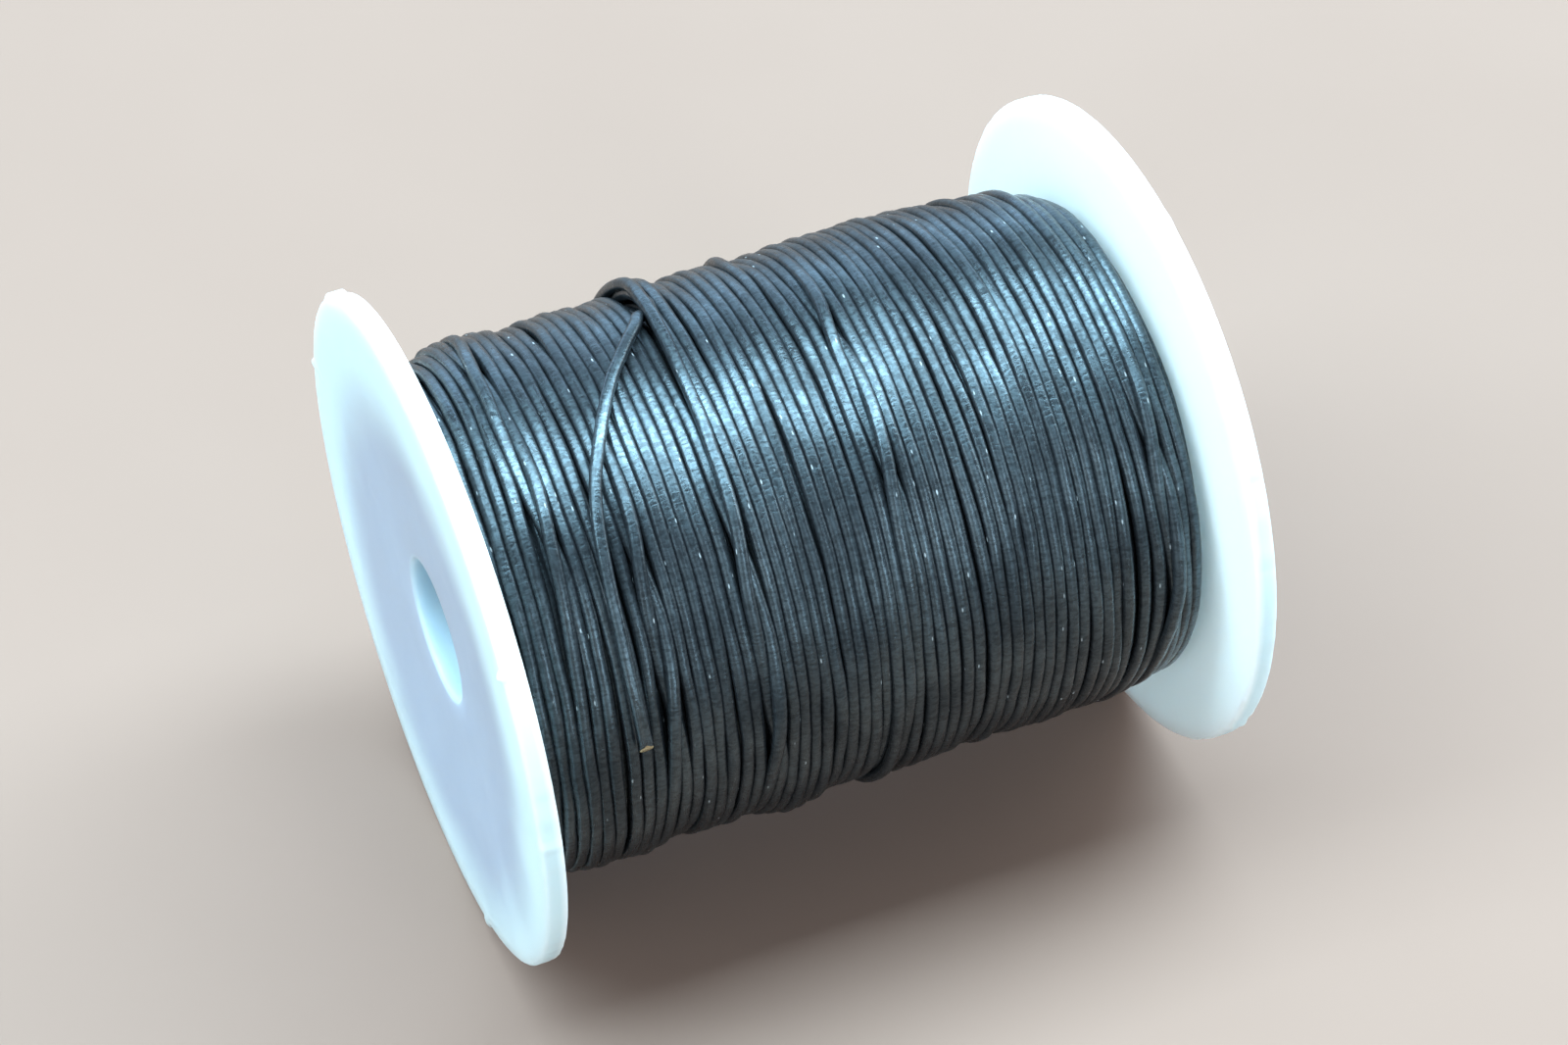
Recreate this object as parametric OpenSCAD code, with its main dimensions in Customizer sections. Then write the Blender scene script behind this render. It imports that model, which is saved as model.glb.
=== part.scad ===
// Cord spool: two flange mouldings plugged into a core tube, wound full of round cord.
// The spool lies on its two rims. X runs along the spindle bore, Z is up and the origin is the bore's centre.

/* [Spool] */
// Diameter of both flanges
flange_d = 55; // [50:0.5:75]
// Length over the two rims
spool_l = 61; // [56:0.5:90]
// Thickness of a flange
flange_t = 1.8; // [1.2:0.1:3]
// How far a rim stands outboard of its hub face
flange_dish = 0.9; // [0.2:0.1:2]
// Width of the flat land round each rim
rim_land_w = 1.5; // [1:0.1:3]
// Rounding of the rim's two edges
rim_r = 0.35; // [0.1:0.05:0.5]
// Width of the flat hub land outside the core tube
hub_land_w = 1.8; // [0.5:0.1:4]

/* [Hub] */
// Diameter of the spindle bore
bore_d = 11.5; // [8:0.1:14]
// Rounding of the bore's mouth
mouth_r = 0.4; // [0.1:0.05:0.6]
// Wall of the spigot that plugs into the core tube
spigot_wall = 1.1; // [0.8:0.1:1.5]
// Length of the spigot
spigot_l = 6; // [3:0.5:12]
// Chamfer that leads the spigot into the tube
lead_in = 0.5; // [0.2:0.1:0.7]
// Number of crush ribs round the spigot
crush_ribs = 6; // [3:1:12]
// Width of a crush rib
rib_w = 0.8; // [0.5:0.1:1.5]
// Radial gap between spigot and tube, which the crush ribs fill
spigot_gap = 0.15; // [0.1:0.05:0.3]
// Wall of the core tube
tube_wall = 1.2; // [0.8:0.1:2.5]

/* [Cord] */
// Diameter of the round cord
cord_d = 1.0; // [0.6:0.05:1.1]
// Diameter over the finished winding
wound_d = 43.2; // [36:0.2:45]
// Turns in the outer layer
turns = 24; // [12:1:24]
// How far the hand-guided turns wander to either side
lay_wander = 0.3; // [0:0.05:0.5]
// How far the winding drops towards each flange
shoulder_drop = 1.4; // [0:0.1:2]
// Length of the winding's rounded shoulder
shoulder_l = 5; // [3:0.5:8]
// Free gap between the turns and the layers below, and beside the flanges
cord_gap = 0.2; // [0.1:0.05:0.3]

/* [Tucked end] */
// Place along the spool where the free end slips under a raised turn
tuck_x = -7.3; // [-12:0.1:12]
// Angle round the spool of that place, up from the back horizontal
tuck_angle = 66; // [45:1:75]
// Half the angle that the raised turn's hump covers
hump_angle = 32; // [25:1:45]
// How far the turns beside the tucked end move apart, each way
tuck_spread = 0.3; // [0.2:0.05:0.4]

/* [Hidden] */
natural = [0.86, 0.95, 0.97];
natural_deep = [0.78, 0.89, 0.93];
cord_black = [0.11, 0.12, 0.13];
cord_wax = [0.20, 0.24, 0.27];
round_fn = 96;

// Radii that fit into each other
rim_outer_r = flange_d / 2;
rim_land_r = rim_outer_r - rim_land_w;
bore_r = bore_d / 2;
spigot_r = bore_r + spigot_wall;
tube_in_r = spigot_r + spigot_gap;
tube_out_r = tube_in_r + tube_wall;
hub_land_r = tube_out_r + hub_land_w;

// Distances along the spool, counted inboard from a rim's outer plane
hub_in = flange_dish + flange_t;
spigot_end = hub_in + spigot_l;
half_l = spool_l / 2;

// X of a flange's inner face at radius r
face_slope = flange_dish / (rim_land_r - hub_land_r);
function face_x(r) = half_l - flange_t - face_slope * (rim_land_r - max(hub_land_r, min(rim_land_r, r)));

// The winding: its outer radius falls off in a rounded shoulder at each flange
wound_r = wound_d / 2;
end_x = face_x(wound_r);
function shoulder(x) = shoulder_drop * pow(1 - max(0, min(1, (end_x - abs(x)) / shoulder_l)), 2);
function surface_r(x) = wound_r - shoulder(x);

// The outer layer's rings and sides, and how deep its chords cut below the arc
turn_rings = 24;
turn_sides = 6;
ring_step = 360 / turn_rings;
chord_sag = wound_r * (1 - cos(ring_step / 2));
function layer_r(x) = surface_r(x) - cord_d - chord_sag - cord_gap;

// Each end of the layer leaves its flange square, runs straight for one diameter and bends into the lay
bend_r = 1.2 * cord_d;
bend_steps = 4;
lay_end_x = face_x(wound_r - shoulder_drop - cord_d) - cord_d - bend_r;
end_r = surface_r(lay_end_x) - cord_d / 2;
seat_r = end_r - cord_d * face_slope;
bend_angle = bend_r / end_r * 180 / PI;
pitch = 2 * lay_end_x / turns;
total_angle = 360 * turns;

// The raised turn is the one nearest the tuck, and it peaks on one of its rings
raised_angle = ring_step * round((tuck_x + lay_end_x) / pitch * turn_rings);
start_angle = tuck_angle + raised_angle;
raise_h = cord_d + 2 * cord_gap;

// The lay by the angle wound so far. It sways about twice a turn, and parts behind the tuck.
sway_rate = 1.93;
sway_fade = 180;
parting_mid = 15;
parting_angle = 50;
function bell(u) = abs(u) < 1 ? (1 + cos(180 * u)) / 2 : 0;
function ease(a) = min(1, a / sway_fade, (total_angle - a) / sway_fade);
function sway(a) = lay_wander * sin(sway_rate * a) * ease(a);
function parting(a) = tuck_spread * (bell((a - raised_angle - 360 - parting_mid) / parting_angle)
    - bell((a - raised_angle - parting_mid) / parting_angle));
function lay_x(a) = pitch * a / 360 - lay_end_x + sway(a) + parting(a);
function lay_r(a) = surface_r(lay_x(a)) - cord_d / 2 + raise_h * bell((a - raised_angle) / hump_angle);

// A point at x, at an angle up from the back horizontal and at radius r from the bore's axis
function on_spool(x, angle, r) = [x, r * cos(angle), r * sin(angle)];

// One end of the layer, from its seat to the lay: side is -1 at the left flange and 1 at the right
function end_run(side) =
    let (lay_angle = side < 0 ? start_angle : start_angle - total_angle)
    concat(
        [on_spool(side * face_x(seat_r), lay_angle - side * bend_angle, seat_r)],
        [for (i = [0:bend_steps - 1])
            let (q = 90 * i / bend_steps, x = lay_end_x + bend_r * (1 - sin(q)))
            on_spool(side * x, lay_angle - side * bend_angle * cos(q), end_r)]);

function reversed(list) = [for (i = [len(list) - 1:-1:0]) list[i]];

lay_path = concat(
    end_run(-1),
    [for (a = [0:ring_step:total_angle]) on_spool(lay_x(a), start_angle - a, lay_r(a))],
    reversed(end_run(1)));

// The free end's route: X and angle from the tuck, and the cord's height above the winding's surface
tail_route = [
    [1.5, -30, -0.8], [1.45, -24, -0.6], [1.4, -18, -0.5], [1.25, -12, -0.5], [0.9, -6, -0.5],
    [0.4, -2, -0.5], [-0.3, 1, -0.45], [-0.75, 3, -0.2], [-1.2, 5.2, 0.2], [-1.7, 7.5, 0.6],
    [-2.3, 10.5, 0.7], [-3.5, 14.5, 0.7], [-4.8, 19, 0.7], [-6.1, 23.5, 0.7], [-7.3, 28.5, 0.7],
    [-8.4, 33.5, 0.7], [-9.5, 39, 0.7], [-10.5, 44.5, 0.7], [-11.2, 50, 0.7], [-11.7, 56, 0.7],
    [-12, 62, 0.7], [-12.2, 68, 0.7], [-12.3, 74, 0.7], [-12.4, 80, 0.7], [-12.4, 86, 0.7],
    [-12.3, 92, 0.7], [-12.2, 98, 0.7], [-12.2, 101, 0.7]];
tail_sides = 8;
tail_path = [for (p = tail_route) let (x = lay_x(raised_angle) + p[0])
    on_spool(x, tuck_angle + p[1], surface_r(x) + p[2] * cord_d)];

// Least gap of the outer layer to itself, between rings of neighbouring turns
lay_gap = min([for (i = [0:len(lay_path) - 1])
    for (j = [i + turn_rings / 2:1:min(i + 2 * turn_rings, len(lay_path) - 1)])
        norm(lay_path[i] - lay_path[j])]) - cord_d;

// Least gap between the free end and the turns that it crosses
function segment_distance(p, a, b) =
    let (u = max(0, min(1, (p - a) * (b - a) / ((b - a) * (b - a))))) norm(p - a - u * (b - a));
tail_gap = min([for (i = [0:len(tail_path) - 2]) for (f = [0:0.25:1])
    let (p = tail_path[i] * (1 - f) + tail_path[i + 1] * f)
    for (j = [0:len(lay_path) - 2]) segment_distance(p, lay_path[j], lay_path[j + 1])]) - cord_d;

// A ring of the cord, square to its run
function unit(v) = v / norm(v);
function ring(path, i, sides) =
    let (run = unit(path[min(i + 1, len(path) - 1)] - path[max(i - 1, 0)]),
        out = [0, path[i][1], path[i][2]],
        up = unit(out - run * (run * out)),
        across = cross(run, up))
    [for (k = [0:sides - 1])
        let (q = 360 * k / sides) path[i] + cord_d / 2 * (cos(q) * up + sin(q) * across)];

// One unbroken tube of cord through all the rings of a path
module cord_along(path, sides) {
    last = (len(path) - 1) * sides;
    polyhedron(
        points = [for (i = [0:len(path) - 1]) each ring(path, i, sides)],
        faces = concat(
            [for (k = [1:sides - 2]) [0, k, k + 1]],
            [for (i = [0:sides:last - sides]) for (k = [0:sides - 1])
                let (a = i + k, b = i + (k + 1) % sides) each [[a, a + sides, b], [b, a + sides, b + sides]]],
            [for (k = [1:sides - 2]) [last, last + k + 1, last + k]]));
}

// An arc of an outline, from one angle to another
arc_steps = 4;
function arc(centre, r, from, to) =
    [for (i = [0:arc_steps]) let (q = from + (to - from) * i / arc_steps) centre + r * [cos(q), sin(q)]];

// Revolves an outline of [radius, X] points about the bore's axis
module turned(outline) {
    rotate([0, 90, 0])
        rotate_extrude($fn = round_fn)
            polygon(outline);
}

// Left flange, with its rim's outer plane at X = 0 and the spigot pointing inboard
module flange_moulding() {
    turned(concat(
        arc([bore_r + mouth_r, flange_dish + mouth_r], mouth_r, 270, 180),
        [[bore_r, spigot_end], [spigot_r - lead_in, spigot_end], [spigot_r, spigot_end - lead_in],
            [spigot_r, hub_in], [hub_land_r, hub_in], [rim_land_r, flange_t]],
        arc([rim_outer_r - rim_r, flange_t - rim_r], rim_r, 90, 0),
        arc([rim_outer_r - rim_r, rim_r], rim_r, 0, -90),
        [[rim_land_r, 0], [hub_land_r, flange_dish]]));
    crush_rib_ring();
}

// Ribs that stand up to the tube's bore and grip it
module crush_rib_ring() {
    rib_l = spigot_l - lead_in;
    translate([hub_in, 0, 0])
        rotate([0, 90, 0])
            intersection() {
                cylinder(r = tube_in_r, h = rib_l, $fn = round_fn);
                for (i = [0:crush_ribs - 1])
                    rotate([0, 0, 360 * i / crush_ribs])
                        translate([spigot_r - spigot_wall / 3, -rib_w / 2, 0])
                            cube([spigot_wall, rib_w, rib_l]);
            }
}

module left_flange() {
    color(natural)
        translate([-half_l, 0, 0])
            flange_moulding();
}

module right_flange() {
    color(natural)
        mirror([1, 0, 0])
            translate([-half_l, 0, 0])
                flange_moulding();
}

// Plain barrel between the two hub lands
module core_tube() {
    end = half_l - hub_in;
    color(natural_deep)
        turned([[tube_in_r, -end], [tube_out_r, -end], [tube_out_r, end], [tube_in_r, end]]);
}

// All the layers below the outer one, packed solid on the core tube
module cord_core() {
    steps = 5;
    top_x = end_x - cord_gap;
    shoulder_in = end_x - shoulder_l;
    right_side = concat(
        [[tube_out_r, face_x(tube_out_r) - cord_gap], [hub_land_r, face_x(hub_land_r) - cord_gap]],
        [for (i = [0:steps]) let (x = top_x - (top_x - shoulder_in) * i / steps) [layer_r(x), x]]);
    color(cord_black)
        turned(concat(right_side, [for (p = reversed(right_side)) [p[0], -p[1]]]));
}

// The outer layer of turns, as one unbroken length
module cord_turns() {
    echo(least_gap_between_turns = lay_gap);
    color(cord_wax)
        cord_along(lay_path, turn_sides);
}

// The free end: tucked under the raised turn and laid over its neighbours
module cord_tail() {
    echo(least_gap_under_and_over_turns = tail_gap);
    color(cord_wax)
        cord_along(tail_path, tail_sides);
}

left_flange();
right_flange();
core_tube();
cord_core();
cord_turns();
cord_tail();
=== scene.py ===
import bmesh
import bpy
import math
import numpy as np
from mathutils import Matrix, Vector


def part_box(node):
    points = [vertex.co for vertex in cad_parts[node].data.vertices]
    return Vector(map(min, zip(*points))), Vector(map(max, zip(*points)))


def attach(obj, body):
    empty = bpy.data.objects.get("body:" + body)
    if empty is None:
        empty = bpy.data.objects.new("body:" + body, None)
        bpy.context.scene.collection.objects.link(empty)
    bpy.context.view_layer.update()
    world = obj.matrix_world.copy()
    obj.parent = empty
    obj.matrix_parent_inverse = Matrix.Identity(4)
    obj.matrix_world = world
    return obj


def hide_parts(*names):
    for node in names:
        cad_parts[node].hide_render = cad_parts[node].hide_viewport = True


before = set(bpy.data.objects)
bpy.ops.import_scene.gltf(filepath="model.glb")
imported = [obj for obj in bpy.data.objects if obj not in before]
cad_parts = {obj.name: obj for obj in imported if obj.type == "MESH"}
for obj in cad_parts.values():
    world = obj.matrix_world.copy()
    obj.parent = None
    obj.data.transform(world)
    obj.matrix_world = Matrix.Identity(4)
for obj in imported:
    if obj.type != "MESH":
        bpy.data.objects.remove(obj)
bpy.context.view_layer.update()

# ---------------------------------------------------------------------------------------------------------
# Camera. It looks down on the spool from the front left, at the left flange's outer face and along the
# winding. The spool lies on its rims with its bore along X, so the floor is one rim radius below the bore.
# ---------------------------------------------------------------------------------------------------------
MM = 0.001
CAMERA_PLACE = Vector((-80.6, -194.5, 237.9)) * MM
CAMERA_YAW = math.radians(22.55)
CAMERA_DIP = math.radians(48.49)
CAMERA_LENS = 90.2
SENSOR_W = 36.0
NEAREST = 0.01

view = bpy.data.cameras.new("camera")
view.lens = CAMERA_LENS
view.sensor_width = SENSOR_W
view.clip_start = NEAREST
camera = bpy.data.objects.new("camera", view)
camera.location = CAMERA_PLACE
camera.rotation_euler = (math.pi / 2 - CAMERA_DIP, 0, -CAMERA_YAW)
bpy.context.scene.collection.objects.link(camera)
bpy.context.scene.camera = camera

# ---------------------------------------------------------------------------------------------------------
# Free end of the cord: round goat leather cord of 1 mm, dyed black, waxed and polished. It slips out from
# under two raised turns and lies slantwise over the winding. A knife cut it, so its tip is pale raw leather.
# ---------------------------------------------------------------------------------------------------------
CORD_D = 1.0 * MM
WOUND_R = 21.6 * MM
SHOULDER_DROP = 1.4 * MM  # how far the winding falls off towards a flange
SHOULDER_L = 5 * MM  # length along X of that fall
WINDING_END = 28.45 * MM  # X of a flange's inner face where the winding meets it
TUCK_X = -7.79 * MM
TUCK_ANGLE = 66  # all angles round the spool go up from the back horizontal, in degrees
TAIL_ROUTE = [  # mm along X from the tuck, degrees round the spool from the tuck, mm above the winding
    (1.5, -30, -0.8), (1.45, -24, -0.6), (1.4, -18, -0.5), (1.25, -12, -0.5), (0.9, -6, -0.5),
    (0.4, -2, -0.5), (-0.3, 1, -0.45), (-0.75, 3, -0.2), (-1.2, 5.2, 0.2), (-1.7, 7.5, 0.6),
    (-2.3, 10.5, 0.7), (-3.5, 14.5, 0.7), (-4.8, 19, 0.7), (-6.1, 23.5, 0.7), (-7.3, 28.5, 0.7),
    (-8.4, 33.5, 0.7), (-9.5, 39, 0.7), (-10.5, 44.5, 0.7), (-11.2, 50, 0.7), (-11.7, 56, 0.7),
    (-12, 62, 0.7), (-12.2, 68, 0.7), (-12.3, 74, 0.7), (-12.4, 80, 0.7), (-12.4, 86, 0.7),
    (-12.3, 92, 0.7), (-12.2, 98, 0.7), (-12.2, 101, 0.7)]
TAIL_SMOOTH = 6  # stretches between two points of the route
TAIL_SIDES = 32
TAIL_RUB = 2.8  # 2 leaves the cord round, and more presses its outer side flat
RUBBED_DOWN = 0.94  # share of its height that the rubbed side keeps


def linear(hex_colour):
    """An sRGB hex colour as the linear colour that a shader socket takes."""
    parts = [int(hex_colour[i:i + 2], 16) / 255 for i in (1, 3, 5)]
    return (*[p / 12.92 if p <= 0.04045 else ((p + 0.055) / 1.055) ** 2.4 for p in parts], 1.0)


def add(tree, kind, inputs=None, **settings):
    """One node with its settings. An input takes a value, or an output socket to be linked to."""
    made = tree.nodes.new(kind)
    for name, value in settings.items():
        setattr(made, name, value)
    for socket, value in (inputs or {}).items():
        if isinstance(value, bpy.types.NodeSocket):
            tree.links.new(value, made.inputs[socket])
        else:
            made.inputs[socket].default_value = value
    return made


def winding_surface(x):
    """Radius of the winding at x: it falls off in a rounded shoulder towards each flange."""
    past = np.clip((WINDING_END - np.abs(x)) / SHOULDER_L, 0, 1)
    return WOUND_R - SHOULDER_DROP * (1 - past) ** 2


def round_spool(x, angle, r):
    """Points at x, at an angle in degrees round the spool and at radius r from the bore's axis."""
    a = np.radians(angle)
    return np.stack(np.broadcast_arrays(x, r * np.cos(a), r * np.sin(a)), axis=-1)


def cord_tube(name, points, diameter, sides, rub=2.0, swell=1.0):
    """An open tube of cord along points. Its UV runs once along the whole cord and once round it. A rub above
    2 presses its outer side flat. The attribute crest is 1 along the outermost line and 0 at the flanks."""
    line = bpy.data.curves.new(name, "CURVE")
    line.dimensions = "3D"
    line.twist_mode = "MINIMUM"
    line.bevel_depth = diameter / 2
    line.bevel_resolution = (sides - 4) // 2
    run = line.splines.new("POLY")
    run.points.add(len(points) - 1)
    run.points.foreach_set("co", np.c_[points, np.ones(len(points))].ravel())
    swell = np.broadcast_to(swell, len(points))
    run.points.foreach_set("radius", swell)
    bare = bpy.data.objects.new(name, line)
    bpy.context.scene.collection.objects.link(bare)
    mesh = bpy.data.meshes.new_from_object(bare.evaluated_get(bpy.context.evaluated_depsgraph_get()))
    bpy.data.objects.remove(bare)
    bpy.data.curves.remove(line)
    tube = bpy.data.objects.new(name, mesh)
    mesh.name = name
    bpy.context.scene.collection.objects.link(tube)
    mesh.polygons.foreach_set("use_smooth", np.ones(len(mesh.polygons), bool))
    # Each ring's arms, from the cord's middle to its skin, part into a rise off the spool and a way aside
    co = np.empty(len(points) * sides * 3)
    mesh.vertices.foreach_get("co", co)
    arms = co.reshape(len(points), sides, 3) - points[:, None]
    outward = points * (0, 1, 1)
    outward = (outward / np.linalg.norm(outward, axis=1)[:, None])[:, None]
    rises = (arms * outward).sum(-1)[..., None]
    aside = arms - rises * outward
    half = (swell * diameter / 2)[:, None, None]
    across = np.clip(np.linalg.norm(aside, axis=-1)[..., None] / half, 0, 1)
    rubbed = RUBBED_DOWN * half * (1 - across**rub) ** (1 / rub)
    arms = aside + np.where(rises > 0, rubbed, rises) * outward
    mesh.vertices.foreach_set("co", (points[:, None] + arms).ravel())
    crest = mesh.attributes.new("crest", "FLOAT", "POINT")
    crest.data.foreach_set("value", (rises / half).ravel())
    return tube


def smooth_run(points, between):
    """A smooth curve through all the points, with a few more between each pair."""
    p = np.vstack([2 * points[0] - points[1], points, 2 * points[-1] - points[-2]])
    t = np.linspace(0, 1, between, endpoint=False)[:, None]
    runs = []
    for a, b, c, d in zip(p, p[1:], p[2:], p[3:]):
        runs.append(0.5 * (2 * b + (c - a) * t + (2 * a - 5 * b + 4 * c - d) * t**2
                           + (3 * b - a - 3 * c + d) * t**3))
    return np.vstack([*runs, points[-1:]])


def run_length(points):
    """Length of the line through all the points."""
    return float(np.linalg.norm(np.diff(points, axis=0), axis=1).sum())


CREASE = 0.25  # mm between the creases that the grain leaves across the cord
STREAK = 2.6  # mm that a polished streak runs along the cord
STREAK_SLIM = 9  # times that a streak is longer than wide
KNOB = 1.1  # mm between the small swellings that the hide's fibres leave
PATCH = 5.0  # mm between darker and lighter dye
SPECKS = (0.4, 1.3, 1.3)  # specks of dust to the mm, along the cord and both ways across it
HELD = 7 * MM  # size of a patch, over several turns at once, where hands have polished the winding
RELIEF = 0.011 * MM  # depth of the creases


def waxed_leather(name, length, diameter, gloss):
    """Round leather cord, cut from hide, dyed black, waxed and drawn through a polishing die. The eye sees a
    near black with a soft broken highlight, because the grain leaves fine creases across the cord."""
    made = bpy.data.materials.new(name)
    made.use_nodes = True
    tree = made.node_tree
    tree.nodes.clear()
    # The pattern lies on a straight cord in its own millimetres, so it has no seam: X runs along the cord
    uv = add(tree, "ShaderNodeSeparateXYZ", {"Vector": add(tree, "ShaderNodeTexCoord").outputs["UV"]})
    turn = add(tree, "ShaderNodeMath", {0: uv.outputs["Y"], 1: 2 * math.pi}, operation="MULTIPLY")
    across_y = add(tree, "ShaderNodeMath", {0: turn.outputs["Value"]}, operation="COSINE")
    across_z = add(tree, "ShaderNodeMath", {0: turn.outputs["Value"]}, operation="SINE")
    straight = add(tree, "ShaderNodeCombineXYZ", {
        "X": uv.outputs["X"], "Y": across_y.outputs["Value"], "Z": across_z.outputs["Value"]})
    span = add(tree, "ShaderNodeMapping", {
        "Vector": straight.outputs["Vector"],
        "Scale": (length / MM, diameter / 2 / MM, diameter / 2 / MM)})
    mm = span.outputs["Vector"]
    across = add(tree, "ShaderNodeMapping", {
        "Vector": mm, "Scale": (1 / CREASE, 0.4 / CREASE, 0.4 / CREASE)})
    creases = add(tree, "ShaderNodeTexNoise", {
        "Vector": across.outputs["Vector"], "Scale": 1.0, "Detail": 3.0, "Roughness": 0.6, "Distortion": 0.5})
    along = add(tree, "ShaderNodeMapping", {
        "Vector": mm, "Scale": (1 / STREAK, STREAK_SLIM / STREAK, STREAK_SLIM / STREAK)})
    streaks = add(tree, "ShaderNodeTexNoise", {
        "Vector": along.outputs["Vector"], "Scale": 1.0, "Detail": 4.0})
    patches = add(tree, "ShaderNodeTexNoise", {"Vector": mm, "Scale": 1 / PATCH, "Detail": 3.0})
    ridge = add(tree, "ShaderNodeMapRange", {  # 0 in a crease, 1 on the ridge beside it
        "Value": creases.outputs["Fac"], "From Min": 0.38, "From Max": 0.6})
    knobs = add(tree, "ShaderNodeTexNoise", {"Vector": mm, "Scale": 1 / KNOB, "Detail": 1.0})
    rolling = add(tree, "ShaderNodeMath", {
        0: knobs.outputs["Fac"], 1: 3.0, 2: streaks.outputs["Fac"]}, operation="MULTIPLY_ADD")
    relief = add(tree, "ShaderNodeMath", {
        0: rolling.outputs["Value"], 1: 0.8, 2: ridge.outputs["Result"]}, operation="MULTIPLY_ADD")
    bump = add(tree, "ShaderNodeBump", {
        "Height": relief.outputs["Value"], "Strength": 1.0, "Distance": RELIEF})
    dye = add(tree, "ShaderNodeMix", {
        "Factor": patches.outputs["Fac"], "A": linear("#202326"), "B": linear("#2d3135")}, data_type="RGBA")
    # Painted shade: the creases are drawn darker in the colour than the ridges beside them, as they would be
    # in shade
    creases_shaded = add(tree, "ShaderNodeMix", {
        "Factor": ridge.outputs["Result"], "A": linear("#1e2124"), "B": dye.outputs["Result"]},
        data_type="RGBA")
    # Dust: pale specks of about 0.15 by 0.5 mm, drawn as coarse as they need to be to show, far apart
    lint = add(tree, "ShaderNodeMapping", {"Vector": mm, "Scale": SPECKS})
    dust = add(tree, "ShaderNodeTexVoronoi", {
        "Vector": lint.outputs["Vector"], "Scale": 1.0, "Randomness": 1.0})
    fleck = add(tree, "ShaderNodeMapRange", {
        "Value": dust.outputs["Distance"], "From Min": 0.1, "From Max": 0.06, "To Max": 0.55})
    chosen = add(tree, "ShaderNodeMapRange", {
        "Value": add(tree, "ShaderNodeSeparateColor", {"Color": dust.outputs["Color"]}).outputs["Red"],
        "From Min": 0.45, "From Max": 0.47})
    flecks = add(tree, "ShaderNodeMath", {
        0: fleck.outputs["Result"], 1: chosen.outputs["Result"]}, operation="MULTIPLY")
    colour = add(tree, "ShaderNodeMix", {
        "Factor": flecks.outputs["Value"], "A": creases_shaded.outputs["Result"], "B": linear("#ccd6da")},
        data_type="RGBA")
    rough = add(tree, "ShaderNodeMapRange", {
        "Value": streaks.outputs["Fac"], "From Min": 0.35, "From Max": 0.65, "To Min": 0.4, "To Max": 0.22})
    wax = add(tree, "ShaderNodeMapRange", {
        "Value": streaks.outputs["Fac"], "From Min": 0.35, "From Max": 0.6, "To Min": 0.08 * gloss,
        "To Max": 0.24 * gloss})
    # The polish lies on the ridges and hardly reaches into the creases, which breaks the highlight. It is
    # best along the crest, where hands and the other turns have rubbed the cord, and dull on the flanks.
    polish = add(tree, "ShaderNodeMapRange", {
        "Value": ridge.outputs["Result"], "To Min": 0.3 * gloss, "To Max": 0.68 * gloss})
    rubbed = add(tree, "ShaderNodeMapRange", {
        "Value": add(tree, "ShaderNodeAttribute", attribute_name="crest").outputs["Fac"],
        "From Min": 0.55, "From Max": 0.97, "To Min": 0.5, "To Max": 1.0})
    held = add(tree, "ShaderNodeTexNoise", {
        "Vector": add(tree, "ShaderNodeTexCoord").outputs["Object"], "Scale": 1 / HELD, "Detail": 1.5})
    handled = add(tree, "ShaderNodeMapRange", {
        "Value": held.outputs["Fac"], "From Min": 0.36, "From Max": 0.62, "To Min": 0.5, "To Max": 1.25})
    worked = add(tree, "ShaderNodeMath", {
        0: rubbed.outputs["Result"], 1: handled.outputs["Result"]}, operation="MULTIPLY")
    shine = add(tree, "ShaderNodeMath", {
        0: polish.outputs["Result"], 1: worked.outputs["Value"]}, operation="MULTIPLY")
    film = add(tree, "ShaderNodeMath", {
        0: wax.outputs["Result"], 1: worked.outputs["Value"]}, operation="MULTIPLY")
    shader = add(tree, "ShaderNodeBsdfPrincipled", {
        "Base Color": colour.outputs["Result"], "Roughness": rough.outputs["Result"],
        "Normal": bump.outputs["Normal"], "IOR": 1.9, "Specular IOR Level": shine.outputs["Value"],
        "Specular Tint": linear("#c6e9f8"), "Coat Weight": film.outputs["Value"], "Coat Roughness": 0.15,
        "Coat IOR": 1.6, "Coat Normal": bump.outputs["Normal"]})
    add(tree, "ShaderNodeOutputMaterial", {"Surface": shader.outputs["BSDF"]})
    return made


FIBRE = 0.12 * MM  # thickness of a bundle of fibres


def raw_leather():
    """Cut end of the cord: undyed, fibrous vegetable-tanned leather. It is matt and pale tan."""
    made = bpy.data.materials.new("raw_cut_leather")
    made.use_nodes = True
    tree = made.node_tree
    tree.nodes.clear()
    place = add(tree, "ShaderNodeTexCoord").outputs["Object"]
    fibres = add(tree, "ShaderNodeTexNoise", {"Vector": place, "Scale": 1 / FIBRE, "Detail": 3.0})
    colour = add(tree, "ShaderNodeMix", {
        "Factor": fibres.outputs["Fac"], "A": linear("#8f7a58"), "B": linear("#d8c79d")}, data_type="RGBA")
    bump = add(tree, "ShaderNodeBump", {"Height": fibres.outputs["Fac"], "Distance": 0.04 * MM})
    shader = add(tree, "ShaderNodeBsdfPrincipled", {
        "Base Color": colour.outputs["Result"], "Roughness": 0.85, "Normal": bump.outputs["Normal"]})
    add(tree, "ShaderNodeOutputMaterial", {"Surface": shader.outputs["BSDF"]})
    return made


tail_stations = np.array(TAIL_ROUTE, float)
tail_x = TUCK_X + tail_stations[:, 0] * MM
tail_angle = TUCK_ANGLE + tail_stations[:, 1]
tail_points = round_spool(tail_x, tail_angle, winding_surface(tail_x) + tail_stations[:, 2] * MM)
tail_line = smooth_run(tail_points, TAIL_SMOOTH)
tail_length = run_length(tail_line)
tail = cord_tube("free_end", tail_line, CORD_D, TAIL_SIDES, TAIL_RUB)

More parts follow.
